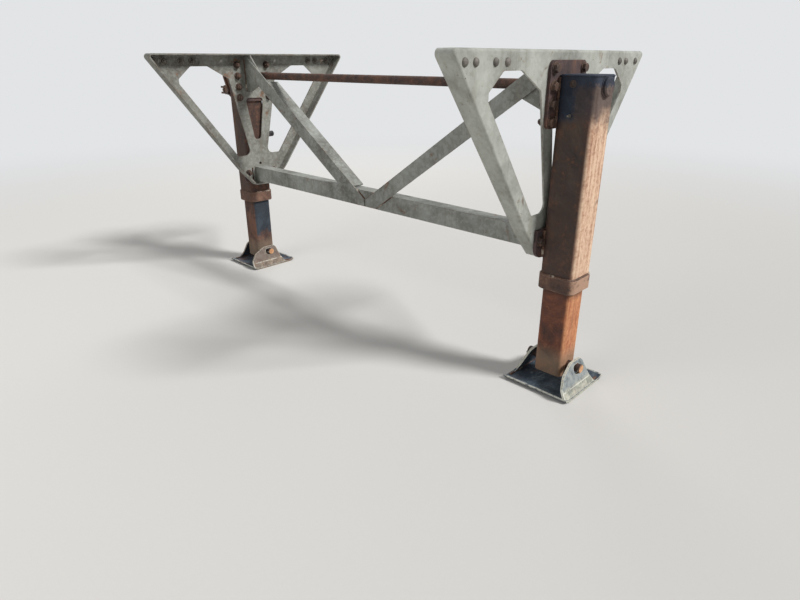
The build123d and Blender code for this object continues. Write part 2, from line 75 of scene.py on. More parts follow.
# Cross shaft, crank shaft, gearbox cover and crank hook
SHAFT_Z = -0.100
SHAFT_CAP_RADIUS = 0.028
CRANK_Z = -0.176
COVER_FACE = 1.052
COVER_LOBES = ((SHAFT_Z, 0.064, 90), (CRANK_Z, 0.045, -90))  # axis, bolts' circle, middle angle
COVER_BOLT_SPREAD = 75  # degrees from a lobe's middle bolt to the next
HOOK_TOP = CRANK_Z - 0.194
HOOK_HEIGHT = 0.060
HOOK_HALF = 0.021

# Nipple and plug on each leg's front
FITTING_Y = LEG_Y - 0.011
NIPPLE_Z = -0.182
PLUG_Z = -0.093

# Sand shoe and its axle
AXLE_Z = -1.022
AXLE_HALF = 0.1052
FOLD_Z = GROUND + 0.034
CHEEK_FOOT = 0.1165  # from the shoe's middle to the bead inside each cheek
LIP_START, LIP_EDGE = 0.1195, 0.124  # from the shoe's middle, where the bent-up rims begin and end


def joined(grids):
    """Vertices and faces of tubes, where grid[i, j] is point j of ring i.

    Each face joins rings i and i + 1 at points j and j + 1. A tube whose last ring lies on its
    first runs into itself, and the ends of any other are fanned shut round their middles.
    """
    verts, faces, start = [], [], 0
    for grid in grids:
        looped = np.allclose(grid[0], grid[-1])
        body = grid[:-1] if looped else grid
        rows, cols = body.shape[:2]
        index = start + np.arange(rows * cols).reshape(rows, cols)
        ahead = np.roll(index, -1, axis=0) if looped else index[1:]
        here = index if looped else index[:-1]
        sides = (here, np.roll(here, -1, axis=1), np.roll(ahead, -1, axis=1), ahead)
        faces += np.stack(sides, axis=-1).reshape(-1, 4).tolist()
        verts.append(body.reshape(-1, 3))
        start += rows * cols
        if not looped:
            verts.append(np.stack([body[0].mean(axis=0), body[-1].mean(axis=0)]))
            first, last, middle = index[0], index[-1], np.full(cols, start)
            faces += np.stack([middle, np.roll(first, -1), first], axis=-1).tolist()
            faces += np.stack([middle + 1, last, np.roll(last, -1)], axis=-1).tolist()
            start += 2
    return np.concatenate(verts), faces


def piece(name, grids, finish, body="frame", smooth=False):
    """One object from tubes of points, riding on a body."""
    verts, faces = joined(grids)
    mesh = bpy.data.meshes.new(name)
    mesh.from_pydata(verts.tolist(), [], faces)
    mesh.polygons.foreach_set("use_smooth", np.full(len(mesh.polygons), smooth))
    mesh.materials.append(finish)
    obj = bpy.data.objects.new(name, mesh)
    bpy.context.scene.collection.objects.link(obj)
    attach(obj, body)


def basis(axis):
    """A right-handed set of unit vectors: helper x axis, axis x the first, and the axis itself.

    Here x is the cross product, and the helper is Z, or X for an axis that is nearly upright.
    """
    axis = np.asarray(axis, float) / np.linalg.norm(axis)
    helper = np.array([0.0, 0.0, 1.0]) if abs(axis[2]) < 0.9 else np.array([1.0, 0.0, 0.0])
    side = np.cross(helper, axis)
    side /= np.linalg.norm(side)
    return side, np.cross(axis, side), axis


def turned(centre, axis, profile, cols=24, flats=None, turn=0.0):
    """Points centre + h axis + r (cos t, sin t) for a profile of (h, r).

    With flats, r stays within a hexagon of that width: half of it over the cosine of the angle from
    t to the nearest flat's middle.
    """
    side, up, axis = basis(axis)
    t = np.linspace(0, 2 * np.pi, cols, endpoint=False)
    height, radius = np.asarray(profile, float).T
    r = np.repeat(radius[:, None], cols, axis=1)
    if flats:
        hexagon = flats / 2 / np.cos((t + np.pi / 6) % (np.pi / 3) - np.pi / 6)
        r = np.minimum(r, hexagon[None, :])
    ring = np.cos(t + turn)[:, None] * side + np.sin(t + turn)[:, None] * up
    return np.asarray(centre, float) + height[:, None, None] * axis + r[..., None] * ring


def swept(path, radius, cols=10, up=(0.0, 0.0, 1.0)):
    """Circles along a path p, r one number or one for each point: p + r (cos t side + sin t lift).

    Side is up x the path's direction, and lift is direction x side.
    """
    path = np.asarray(path, float)
    along = np.gradient(path, axis=0)
    if np.allclose(path[0], path[-1]):
        along[0] = along[-1] = path[1] - path[-2]
    along /= np.linalg.norm(along, axis=1, keepdims=True)
    side = np.cross(np.asarray(up, float), along)
    side /= np.linalg.norm(side, axis=1, keepdims=True)
    lift = np.cross(along, side)
    t = np.linspace(0, 2 * np.pi, cols, endpoint=False)
    r = np.broadcast_to(np.asarray(radius, float), len(path))[:, None, None]
    ring = np.cos(t)[None, :, None] * side[:, None] + np.sin(t)[None, :, None] * lift[:, None]
    return path[:, None] + r * ring


def resampled(corners, step):
    """Points at an even step of the length covered, along straight runs between corners."""
    corners = np.asarray(corners, float)
    lengths = np.linalg.norm(np.diff(corners, axis=0), axis=1)
    reach = np.concatenate([[0.0], np.cumsum(lengths)])
    count = max(4, int(reach[-1] / step) + 1)
    s = np.linspace(0, reach[-1], count)
    return np.stack([np.interp(s, reach, corners[:, axis]) for axis in range(3)], axis=1)


def bead(corners, radius=0.004, pitch=0.0075, up=(0.0, 0.0, 1.0), seed=1):
    """A weld bead: at length s its radius is r w(s) (0.88 + 0.2 |sin(pi s / pitch)|).

    The wander w runs between 14 random heights from 0.86 to 1.12, and is 1 on a closed bead.
    """
    path = resampled(corners, pitch / 5)
    s = np.arange(len(path)) * pitch / 5
    rng = np.random.default_rng(seed)
    wander = np.interp(s, np.linspace(0, s[-1], 14), rng.uniform(0.86, 1.12, 14))
    ripple = 0.88 + 0.2 * np.abs(np.sin(np.pi * s / pitch))
    if np.allclose(path[0], path[-1]):
        wander = 1.0
        ripple[-1] = ripple[0]
    return swept(path, radius * wander * ripple, up=up)


def rounded_square(half, corner, z, centre_y):
    """A closed level path: quarter arcs c (cos t, sin t) about points half - c from the middle."""
    t = np.linspace(0, np.pi / 2, 7)
    middle = half - corner
    quarters = []
    for quarter in range(4):
        turn = quarter * np.pi / 2
        x = middle * np.sign(np.cos(turn + np.pi / 4)) + corner * np.cos(turn + t)
        y = middle * np.sign(np.sin(turn + np.pi / 4)) + corner * np.sin(turn + t)
        quarters.append(np.stack([x, y + centre_y, np.full_like(t, z)], axis=1))
    loop = np.concatenate(quarters)
    return np.concatenate([loop, loop[:1]])


def upright_ring(centre, radius, count):
    """A closed path in an upright plane square to Y: centre + r (cos t, 0, sin t)."""
    t = np.linspace(0, 2 * np.pi, count)
    return np.asarray(centre, float) + radius * np.stack([np.cos(t), 0 * t, np.sin(t)], axis=1)


def hex_head(centre, axis, size=0.0238, height=0.010, washer=0.017, turn=0.0):
    """A washer, and on it a chamfered hexagon: size across flats, 0.577 size to a corner."""
    seat = 0.003
    disc = [(0, washer), (seat - 0.0004, washer), (seat, washer - 0.0005)]
    corner = size * 0.577
    head = [(seat, corner), (seat + height - 0.0015, corner), (seat + height, size * 0.475)]
    return [turned(centre, axis, disc), turned(centre, axis, head, flats=size, turn=turn)]


def hex_nut(centre, axis, size=0.0238, height=0.013, shank=0.0079, turn=0.0):
    """A washer, a nut and the chamfered end of its bolt, which stands 7.5 mm out of the nut."""
    end = [(height, shank), (height + 0.009, shank), (height + 0.0105, shank * 0.8)]
    return hex_head(centre, axis, size, height, turn=turn) + [turned(centre, axis, end, cols=16)]


def round_head(centre, axis, radius, height):
    """A domed head: h sin t high at r cos t out, most of a quarter of an ellipse, turned."""
    t = np.linspace(0, np.pi / 2 * 0.94, 6)
    profile = np.stack([height * np.sin(t), radius * np.cos(t)], axis=1)
    return turned(centre, axis, profile, cols=20)


def rgb(red, green, blue):
    """A colour given in 0 to 255 as a screen shows it, as linear light."""
    c = np.array([red, green, blue]) / 255
    linear = np.where(c <= 0.04045, c / 12.92, ((c + 0.055) / 1.055) ** 2.4)
    return (*linear.tolist(), 1.0)


class Finish:
    """A node material on Object coordinates, with a short call for each kind of node."""

    def __init__(self, name):
        self.material = bpy.data.materials.new(name)
        self.material.use_nodes = True
        self.nodes = self.material.node_tree.nodes
        self.links = self.material.node_tree.links
        self.shader = self.nodes["Principled BSDF"]
        self.here = self.nodes.new("ShaderNodeTexCoord").outputs["Object"]

    def feed(self, node, values):
        """Links or sets a node's inputs."""
        for socket, value in values.items():
            if isinstance(value, bpy.types.NodeSocket):
                self.links.new(value, node.inputs[socket])
            else:
                node.inputs[socket].default_value = value

    def node(self, kind, values, **settings):
        """A new node with its settings made and its inputs fed."""
        node = self.nodes.new("ShaderNode" + kind)
        for setting, value in settings.items():
            setattr(node, setting, value)
        self.feed(node, values)
        return node

    def noise(self, scale, detail=6.0, rough=0.6, at=None, warp=0.0):
        """Cloudy noise, mostly 0.3 to 0.7, its scale in blotches to the metre."""
        values = {"Vector": at or self.here, "Scale": scale, "Detail": detail, "Roughness": rough}
        return self.node("TexNoise", {**values, "Distortion": warp}).outputs["Fac"]

    def drawn(self, scales, detail=7.0, rough=0.66, warp=0.0):
        """Noise with its own scale along X, Y and Z, drawn out where that is small."""
        mapping = self.node("Mapping", {"Vector": self.here, "Scale": scales})
        return self.noise(1, detail, rough, at=mapping.outputs["Vector"], warp=warp)

    def crystals(self, scale):
        """One random grey for each cell of a broken pattern."""
        cells = self.node("TexVoronoi", {"Vector": self.here, "Scale": scale})
        return self.node("SeparateColor", {0: cells.outputs["Color"]}).outputs[0]

    def calc(self, kind, first, *others):
        """One kind of arithmetic, carried through the values in turn."""
        for other in others or (0.0,):
            first = self.node("Math", {0: first, 1: other}, operation=kind).outputs["Value"]
        return first

    def times(self, *values):
        return self.calc("MULTIPLY", *values)

    def plus(self, *values):
        return self.calc("ADD", *values)

    def most(self, *values):
        return self.calc("MAXIMUM", *values)

    def size(self, value):
        return self.calc("ABSOLUTE", value)

    def band(self, value, low, high):
        """A smooth step from 0 at low to 1 at high, where low may be the greater."""
        rising = low < high
        values = {"Value": value, "From Min": min(low, high), "From Max": max(low, high)}
        values |= {"To Min": 0.0 if rising else 1.0, "To Max": 1.0 if rising else 0.0}
        return self.node("MapRange", values, interpolation_type="SMOOTHSTEP").outputs["Result"]

    def ragged(self, value, wobble, reach, low, high):
        """A band whose place wanders by a noise times a reach."""
        return self.band(self.plus(value, self.times(wobble, reach)), low, high)

    def blend(self, amount, first, second):
        """The first colour where the amount is 0, the second where it is 1."""
        return self.node("Mix", {0: amount, 6: first, 7: second}, data_type="RGBA").outputs[2]

    def coat(self, under, over, amount, strength):
        """One colour laid over another by an amount times a strength."""
        return self.blend(self.times(amount, strength), under, over)

    def tones(self, value, stops):
        """A value turned into colours: a ramp through each colour at its place from 0 to 1."""
        node = self.node("ValToRGB", {"Fac": value})
        ramp = node.color_ramp.elements
        while len(ramp) < len(stops):
            ramp.new(0.5)
        for element, (place, colour) in zip(ramp, stops.items()):
            element.position = place
            element.color = colour
        return node.outputs["Color"]

    def along(self, axis):
        """The point's X, Y or Z."""
        return self.node("SeparateXYZ", {"Vector": self.here}).outputs[axis]

    def normal(self):
        return self.node("NewGeometry", {}).outputs["Normal"]

    def facing(self, axis):
        """The normal's X, Y or Z."""
        return self.node("SeparateXYZ", {"Vector": self.normal()}).outputs[axis]

    def from_middle(self):
        """The distance |y| from the plane midway between the legs."""
        return self.size(self.along("Y"))

    def outward(self):
        """How squarely a face looks away from that plane: sign(y) times its normal's y."""
        return self.times(self.calc("SIGN", self.along("Y")), self.facing("Y"))

    def edges(self, width):
        """1 on outward and inward edges: where a rounded normal and the true normal part."""
        rounded = self.node("Bevel", {"Radius": width}, samples=4).outputs["Normal"]
        normals = {0: rounded, 1: self.normal()}
        agreement = self.node("VectorMath", normals, operation="DOT_PRODUCT").outputs["Value"]
        return self.band(agreement, 0.97, 0.80)

    def dress(self, colour, roughness, height, depth, metal=0.0):
        """Sets colour, roughness, metal and bump, and gives the material back."""
        bump = self.node("Bump", {"Strength": 1.0, "Distance": depth, "Height": height})
        values = {"Base Color": colour, "Roughness": roughness, "Metallic": metal}
        self.feed(self.shader, {**values, "Normal": bump.outputs["Normal"]})
        return self.material


def galvanised(name, clean, soiled, wear):
    """Weathered zinc: grey clouds and crystals, streaks, and rust in specks, patches and edges."""
    f = Finish(name)
    fine = f.noise(120, 4, 0.7)
    colour = f.tones(f.noise(6, 7, 0.62, warp=0.4), {0.36: soiled, 0.62: clean})
    colour = f.coat(colour, rgb(206, 210, 206), f.band(f.crystals(85), 0.2, 0.9), 0.14)
    colour = f.coat(colour, rgb(112, 104, 90), f.band(f.drawn((38, 38, 2.4)), 0.5, 0.72), 0.42)
    rust = f.tones(f.noise(26, 6, 0.7), {0.36: rgb(66, 44, 32), 0.66: rgb(136, 92, 58)})
    speck = f.times(f.band(fine, 0.63, 0.71), 0.7)
    patch = f.times(f.band(f.noise(13, 8, 0.72, warp=0.6), 0.60 - wear, 0.70 - wear), 0.8)
    worn = f.times(f.edges(0.005), f.band(f.noise(30, 6, 0.7), 0.42, 0.6), 0.85)
    rusty = f.most(patch, speck, worn)
    colour = f.blend(rusty, colour, rust)
    bumps = f.plus(f.times(fine, 0.35), f.times(rusty, 0.5))
    return f.dress(colour, f.band(f.noise(20, 4), -0.6, 1.0), bumps, 0.0009)


def leg_paint():
    """Outer legs: brown rust, streaked pale chalk outboard, blue-black paint kept at the top."""
    f = Finish("leg_paint")
    height, from_middle = f.along("Z"), f.from_middle()
    grain = f.noise(42, 8, 0.72)
    cloud = f.noise(7, 8, 0.66, warp=0.5)
    speckle = f.noise(75, 8, 0.78)
    mottle = f.noise(22, 7, 0.7)
    streak = f.drawn((120, 120, 5.0), 8, 0.7)

    # Grey-brown, rustier at the tube's corners, towards its foot and in specks
    grey = f.tones(cloud, {0.34: rgb(43, 36, 34), 0.5: rgb(68, 55, 48), 0.68: rgb(96, 77, 64)})
    brown = f.tones(grain, {0.38: rgb(46, 32, 28), 0.52: rgb(74, 50, 41), 0.66: rgb(112, 77, 59)})
    from_axis = f.size(f.calc("SUBTRACT", from_middle, LEG_Y))
    corner = f.times(f.ragged(from_axis, cloud, 0.05, 0.050, 0.084), 0.85)
    foot = f.times(f.ragged(height, cloud, 0.4, -0.15, -0.48), 0.6)
    speck = f.times(f.band(grain, 0.5, 0.66), 0.7)
    colour = f.blend(f.most(corner, foot, speck), grey, brown)

    # Chalk on the outboard side, worn off in clouds, then dark specks
    chalk = f.tones(
        f.plus(f.times(streak, 0.55), f.times(speckle, 0.45)),
        {
            0.42: rgb(230, 200, 171),
            0.5: rgb(212, 176, 148),
            0.57: rgb(178, 133, 107),
            0.66: rgb(106, 76, 62),
        },
    )
    outboard = f.times(f.band(f.outward(), 0.35, 0.9), f.band(cloud, 0.70, 0.56))
    colour = f.coat(colour, chalk, outboard, 0.92)
    colour = f.coat(colour, rgb(112, 76, 58), f.band(speckle, 0.56, 0.66), 0.3)

    # Dust and painted shade below the cap, old paint kept on the inboard strip and the rim, then
    # dark drips
    dust_and_painted_shade = f.tones(mottle, {0.38: rgb(42, 37, 41), 0.54: rgb(63, 54, 56), 0.7: rgb(92, 77, 74)})
    colour = f.coat(colour, dust_and_painted_shade, f.ragged(height, cloud, 0.12, -0.150, -0.095), 0.88)
    strip = f.times(
        f.ragged(from_middle, speckle, 0.08, LEG_Y + 0.050, LEG_Y + 0.030),
        f.ragged(height, cloud, 0.08, -0.165, -0.135),
    )
    rim = f.ragged(height, speckle, 0.09, -0.066, -0.046)
    kept = f.times(f.most(strip, rim), f.band(speckle, 0.66, 0.56))
    paint = f.tones(mottle, {0.4: rgb(22, 31, 46), 0.66: rgb(38, 52, 70)})
    colour = f.coat(colour, paint, kept, 0.94)
    drips = f.band(f.drawn((60, 60, 4.0), 6, 0.6), 0.6, 0.72)
    colour = f.coat(colour, rgb(52, 38, 34), drips, 0.5)
    bumps = f.plus(f.times(grain, 0.6), f.times(streak, 0.3))
    return f.dress(colour, f.band(grain, -1.2, 1.1), bumps, 0.0012)


def inner_rust(name, rust, outboard, patched):
    """Inner legs: clouds of rust, lighter outboard, run marks, a greasy top, dust on the foot.

    The three rust tones and two outboard tones are the leg's own. A patched leg keeps old
    blue-black paint on its face that looks to +Y, above a ragged edge.
    """
    f = Finish(name)
    height = f.along("Z")
    cloud = f.noise(11, 8, 0.68, warp=0.7)
    grain = f.noise(70, 7, 0.72)
    colour = f.tones(cloud, dict(zip((0.33, 0.48, 0.66), rust)))
    colour = f.coat(colour, rgb(176, 118, 78), f.band(grain, 0.58, 0.7), 0.45)
    scratched = f.plus(f.times(f.drawn((80, 80, 9), 7, 0.7), 0.5), f.times(grain, 0.5))
    light = f.tones(scratched, dict(zip((0.4, 0.6), outboard)))
    colour = f.coat(colour, light, f.band(f.outward(), 0.3, 0.9), 0.8)
    colour = f.coat(colour, rgb(88, 50, 38), f.band(f.drawn((70, 70, 4.0)), 0.56, 0.72), 0.45)
    colour = f.coat(colour, rgb(62, 40, 32), f.ragged(height, cloud, 0.05, -0.755, -0.715), 0.75)
    colour = f.coat(colour, rgb(140, 124, 104), f.ragged(height, cloud, -0.05, -0.96, -1.03), 0.55)
    if patched:
        wobble = f.plus(f.times(cloud, 0.16), f.times(grain, 0.10))
        above = f.ragged(height, wobble, 1.0, -0.812, -0.775)
        patch = f.times(f.band(f.facing("Y"), 0.5, 0.9), above)
        worn = f.band(f.noise(34, 7, 0.75), 0.74, 0.62)
        paint = f.tones(cloud, {0.4: rgb(27, 36, 46), 0.62: rgb(46, 60, 70)})
        colour = f.coat(colour, paint, f.times(patch, worn), 0.95)
    return f.dress(colour, f.band(grain, -1.0, 1.1), f.plus(grain, f.times(cloud, 0.8)), 0.001)


def plate_paint():
    """Mounting plates, lugs and bearings: dull purple-brown primer with rust coming through."""
    f = Finish("plate_paint")
    cloud = f.noise(18, 8, 0.68, warp=0.5)
    grain = f.noise(85, 6, 0.7)
    colour = f.tones(cloud, {0.36: rgb(52, 43, 46), 0.52: rgb(78, 60, 57), 0.7: rgb(110, 78, 64)})
    colour = f.coat(colour, rgb(128, 102, 84), f.band(grain, 0.58, 0.7), 0.4)
    worn = f.times(f.edges(0.004), f.band(cloud, 0.42, 0.58))
    colour = f.coat(colour, rgb(134, 98, 76), worn, 0.6)
    return f.dress(colour, f.band(grain, -1.2, 1.2), f.plus(grain, cloud), 0.0009)


def collar_rust():
    """Leg collars: brown-purple rust, paler outboard, with scraped light edges."""
    f = Finish("collar_rust")
    cloud = f.noise(20, 8, 0.7, warp=0.5)
    grain = f.noise(75, 6, 0.72)
    colour = f.tones(cloud, {0.35: rgb(62, 45, 39), 0.52: rgb(92, 66, 54), 0.7: rgb(128, 96, 77)})
    colour = f.coat(colour, rgb(68, 46, 40), f.band(grain, 0.56, 0.68), 0.6)
    pale = f.times(f.band(f.outward(), 0.3, 0.9), f.band(cloud, 0.34, 0.52))
    colour = f.blend(pale, colour, rgb(168, 134, 112))
    scrape = f.times(f.edges(0.004), f.band(f.noise(24, 5, 0.6), 0.42, 0.56))
    colour = f.coat(colour, rgb(200, 186, 170), scrape, 0.8)
    return f.dress(colour, f.band(grain, -1.0, 1.2), f.plus(grain, cloud), 0.001)


def shoe_steel(name, dusk, dawn, shade, stained):
    """Sand shoes: worn blue-black paint, dust outside, pale cut edges, rust stains, rubbed folds.

    Dust runs from dusk to dawn, and to shade above the fold. Stained is how much more rust shows.
    """
    f = Finish(name)
    cloud = f.noise(17, 8, 0.7, warp=0.7)
    grain = f.noise(95, 6, 0.7)
    from_axis = f.calc("SUBTRACT", f.from_middle(), LEG_Y)
    outside = f.band(f.times(from_axis, f.outward()), 0.012, 0.05)
    over_fold = f.calc("SUBTRACT", f.along("Z"), FOLD_Z)
    colour = f.tones(cloud, {0.36: rgb(30, 37, 46), 0.52: rgb(54, 66, 78), 0.7: rgb(98, 110, 118)})
    scuff = f.band(f.drawn((20, 52, 30), 8, 0.78, warp=1.2), 0.57, 0.64)
    colour = f.coat(colour, rgb(150, 158, 160), scuff, 0.6)
    dust = f.tones(f.noise(40, 7, 0.7), {0.36: dusk, 0.62: dawn})
    dust = f.coat(dust, shade, f.band(over_fold, -0.001, 0.014), 0.6)
    colour = f.coat(colour, dust, outside, f.band(cloud, 0.22, 0.5))

    # Cut edges of the cheeks, on faces that look neither in nor out
    cut = f.times(
        f.band(f.size(f.facing("Y")), 0.4, 0.15),
        f.band(f.size(from_axis), 0.070, 0.074),
        f.band(f.along("Z"), GROUND + 0.020, GROUND + 0.024),
    )
    colour = f.coat(colour, dawn, cut, f.band(grain, 0.3, 0.5))
    stain = f.band(f.noise(13, 8, 0.76, warp=0.9), 0.57 - stained, 0.67 - stained)
    rust = f.tones(grain, {0.38: rgb(70, 44, 34), 0.64: rgb(136, 84, 54)})
    colour = f.coat(colour, rust, stain, 0.7)

    # Bare steel along every edge, the base's bent-up rims and the cheeks' folds
    lip = f.times(
        f.band(f.size(f.along("X")), LIP_START, LIP_EDGE),
        f.band(f.along("Z"), GROUND + 0.009, GROUND + 0.014),
    )
    scraped = f.times(outside, f.band(f.noise(52, 6, 0.75), 0.35, 0.52))
    fold = f.times(f.band(f.size(over_fold), 0.0024, 0.0006), scraped)
    rubbed = f.band(f.noise(36, 6, 0.7), 0.34, 0.5)
    worn = f.times(f.most(f.edges(0.0045), lip, fold), rubbed)
    colour = f.coat(colour, rgb(214, 214, 204), worn, 0.9 - 3 * stained)
    rough = f.ragged(grain, scuff, -0.2, -0.5, 1.1)
    bumps = f.plus(f.times(grain, 0.7), f.times(stain, 0.5))
    return f.dress(colour, rough, bumps, 0.0011, metal=f.times(worn, 0.5))


def bar_rust(name, rust, chafed):
    """Rusted round bar, in three tones of rust, with rubbed lighter grain."""
    f = Finish(name)
    cloud = f.noise(24, 8, 0.68, warp=0.4)
    grain = f.noise(110, 6, 0.7)
    colour = f.tones(cloud, dict(zip((0.35, 0.5, 0.68), rust)))
    rubbed = f.band(f.drawn((60, 8, 60), 6, 0.65), 0.56, 0.7)
    colour = f.coat(colour, chafed, rubbed, 0.5)
    return f.dress(colour, f.band(grain, -0.9, 1.2), f.plus(grain, cloud), 0.0008)


def axle_rust():
    """Shoe axles: pale orange rust on the ends; round the bar dark grease, rust and painted shade.
    """
    f = Finish("axle_rust")
    cloud = f.noise(26, 8, 0.68, warp=0.4)
    grain = f.noise(110, 6, 0.7)
    pale = {0.35: rgb(156, 104, 70), 0.5: rgb(200, 150, 108), 0.68: rgb(224, 184, 146)}
    # Round the bar the dark tones are grease and rust, and painted shade.
    grease_and_painted_shade = {0.36: rgb(30, 25, 24), 0.54: rgb(58, 42, 36), 0.7: rgb(108, 74, 54)}
    ends = f.band(f.size(f.facing("Y")), 0.6, 0.9)
    colour = f.blend(ends, f.tones(cloud, grease_and_painted_shade), f.tones(cloud, pale))
    return f.dress(colour, f.band(grain, -0.7, 1.2), f.plus(grain, cloud), 0.0008)


def cast_iron():
    """Gearbox: sand-cast grain under dark paint with rust, dark and glossy with oil low down."""
    f = Finish("cast_iron")
    grain = f.noise(150, 5, 0.7)
    cloud = f.noise(15, 8, 0.68, warp=0.5)
    colour = f.tones(cloud, {0.36: rgb(50, 42, 40), 0.52: rgb(84, 62, 52), 0.7: rgb(118, 82, 60)})
    oil = f.ragged(f.along("Z"), cloud, -0.06, -0.17, -0.24)
    colour = f.coat(colour, rgb(34, 28, 26), oil, 0.7)
    rough = f.blend(oil, (0.78, 0.78, 0.78, 1.0), (0.42, 0.42, 0.42, 1.0))
    return f.dress(colour, rough, f.plus(grain, f.times(cloud, 0.6)), 0.0011)


def grip_paint():
    """Crank grip: black paint polished by hands, chipped to rusty steel."""
    f = Finish("grip_paint")
    grain = f.noise(100, 6, 0.7)
    chips = f.band(f.noise(55, 7, 0.75), 0.6, 0.66)
    colour = f.tones(f.noise(20), {0.4: rgb(34, 33, 35), 0.65: rgb(58, 55, 54)})
    colour = f.coat(colour, rgb(126, 96, 76), chips, 0.8)
    return f.dress(colour, f.band(grain, -0.4, 1.3), f.plus(grain, chips), 0.0006)


def fastener_steel(name, dark, bright):
    """Bolts, nuts and fittings: mottled steel with rubbed edges."""
    f = Finish(name)
    grain = f.noise(160, 5, 0.7)
    colour = f.tones(f.noise(38, 6, 0.7), {0.36: dark, 0.64: bright})
    colour = f.coat(colour, rgb(150, 132, 116), f.edges(0.0015), 0.5)
    return f.dress(colour, f.band(grain, -0.6, 1.2), grain, 0.0006, metal=0.25)


def weld_metal():
    """Weld beads: dark rust with burnt blue-grey crowns, scraped pale in patches."""
    f = Finish("weld_metal")
    grain = f.noise(180, 5, 0.7)
    burnt = {0.36: rgb(58, 42, 36), 0.55: rgb(104, 74, 56), 0.7: rgb(128, 118, 112)}
    colour = f.tones(f.noise(45, 6, 0.7), burnt)
    scraped = f.band(f.noise(11, 5, 0.6), 0.56, 0.62)
    colour = f.coat(colour, rgb(196, 184, 168), scraped, 0.8)
    return f.dress(colour, f.band(grain, -0.8, 1.2), grain, 0.0006)


def dress_nodes():
    """Each CAD node's finish, by its name's end. Gives back the legs', for the painted beads."""
    leg = leg_paint()
    plate = plate_paint()
    collar = collar_rust()
    near_inner = inner_rust(
        "near_inner_rust",
        rust=(rgb(58, 38, 32), rgb(94, 56, 42), rgb(146, 86, 56)),
        outboard=(rgb(168, 100, 64), rgb(220, 156, 110)),
        patched=False,
    )
    # The far inner leg's rust is duller, and darker than the near leg's as painted shade.
    far_inner_painted_shade = inner_rust(
        "far_inner_rust",
        rust=(rgb(50, 36, 33), rgb(84, 59, 50), rgb(122, 84, 66)),
        outboard=(rgb(128, 90, 72), rgb(172, 132, 108)),
        patched=True,
    )
    near_shoe = shoe_steel(
        "near_shoe_steel",
        dusk=rgb(120, 122, 114),
        dawn=rgb(192, 190, 174),
        shade=rgb(112, 124, 134),
        stained=0.0,
    )
    far_shoe = shoe_steel(
        "far_shoe_steel",
        dusk=rgb(88, 76, 66),
        dawn=rgb(146, 130, 112),
        shade=rgb(92, 80, 74),
        stained=0.06,
    )
    near_zinc = galvanised("near_bracket_zinc", rgb(172, 174, 165), rgb(134, 135, 127), 0.0)
    # The far bracket's zinc is darker as painted shade, with a little more rust as real wear.
    far_zinc_painted_shade = galvanised("far_bracket_zinc_painted_shade", rgb(134, 134, 126), rgb(96, 94, 86), 0.02)
    brace_zinc = galvanised("brace_zinc", rgb(142, 144, 138), rgb(102, 102, 95), 0.01)
    shaft = bar_rust(
        "shaft_rust",
        rust=(rgb(44, 32, 28), rgb(72, 48, 38), rgb(104, 70, 50)),
        chafed=rgb(92, 78, 68),
    )
    crank = bar_rust(
        "crank_steel",
        rust=(rgb(56, 42, 36), rgb(96, 70, 54), rgb(134, 98, 70)),
        chafed=rgb(146, 134, 122),
    )
    iron = cast_iron()
    finishes = {
        "left_wing_bracket": near_zinc,
        "right_wing_bracket": far_zinc_painted_shade,
        "mounting_plate": plate,
        "lower_lug": plate,
        "shaft_bearing": plate,
        "crank_hook": plate,
        "outer_leg": leg,
        "leg_cap": leg,
        "left_shaft_cap": leg,
        "leg_collar": collar,
        "left_inner_leg": near_inner,
        "right_inner_leg": far_inner_painted_shade,
        "shoe_axle": axle_rust(),
        "left_sand_shoe": near_shoe,
        "right_sand_shoe": far_shoe,
        "cross_brace": brace_zinc,
        "diagonal_brace": brace_zinc,
        "brace_gusset": brace_zinc,
        "cross_shaft": shaft,
        "shaft_stub": shaft,
        "gearbox_housing": iron,
        "gearbox_cover": iron,
        "crank_shaft": crank,
        "crank_yoke": crank,
        "crank_fold_pin": crank,
        "crank_handle": crank,
        "crank_grip": grip_paint(),
    }
    for name, obj in nodes.items():
        ending = next(end for end in finishes if name.endswith(end))
        for place in obj.material_slots:
            place.material = finishes[ending]
    return leg


def plate_fasteners(bolt_finish):
    """Two columns of bolts through each mounting plate and web, and two bolts through each lug."""
    rng = np.random.default_rng(7)
    rows = [PLATE_BOLT_TOP - PLATE_BOLT_PITCH * row for row in range(PLATE_BOLT_ROWS)]
    places = [(x, z) for z in rows for x in (-PLATE_BOLT_X, PLATE_BOLT_X)]
    places += [(x, LUG_BOLT_Z) for x in (-LUG_BOLT_X, LUG_BOLT_X)]
    for side, sign in SIDES.items():
        heads, nuts = [], []
        for x, z in places:
            turn = rng.uniform(0, np.pi / 3)
            heads += hex_head((x, sign * LEG_INBOARD, z), (0, sign, 0), turn=turn)
            nuts += hex_nut((x, sign * WEB_INBOARD, z), (0, -sign, 0), turn=turn)
        piece(f"{side}_plate_bolt_heads", heads, bolt_finish)
        piece(f"{side}_plate_nuts", nuts, bolt_finish)


def rail_fasteners(bolt_finish):
    """Round-headed bolts through the top rail of each web, nuts inboard."""
    for side, sign in SIDES.items():
        grids = []
        for x in RAIL_BOLT_X:
            head, nut = (x, sign * WEB_OUTBOARD, RAIL_BOLT_Z), (x, sign * WEB_INBOARD, RAIL_BOLT_Z)
            grids.append(round_head(head, (0, sign, 0), 0.0115, 0.0075))
            grids += hex_nut(nut, (0, -sign, 0), size=0.019, height=0.009, shank=0.006)
        piece(f"{side}_rail_bolts", grids, bolt_finish)


def gearbox_fasteners(bolt_finish):
    """Cover bolts on the ears round both lobes: axis + reach (cos a, sin a), a about 90 or -90."""
    grids = []
    for z, reach, middle in COVER_LOBES:
        for spread in (-COVER_BOLT_SPREAD, 0, COVER_BOLT_SPREAD):
            turn = math.radians(middle + spread)
            place = (reach * math.cos(turn), -COVER_FACE, z + reach * math.sin(turn))
            grids += hex_head(place, (0, -1, 0), 0.013, 0.006, washer=0.0085, turn=turn)
    piece("gearbox_bolts", grids, bolt_finish)


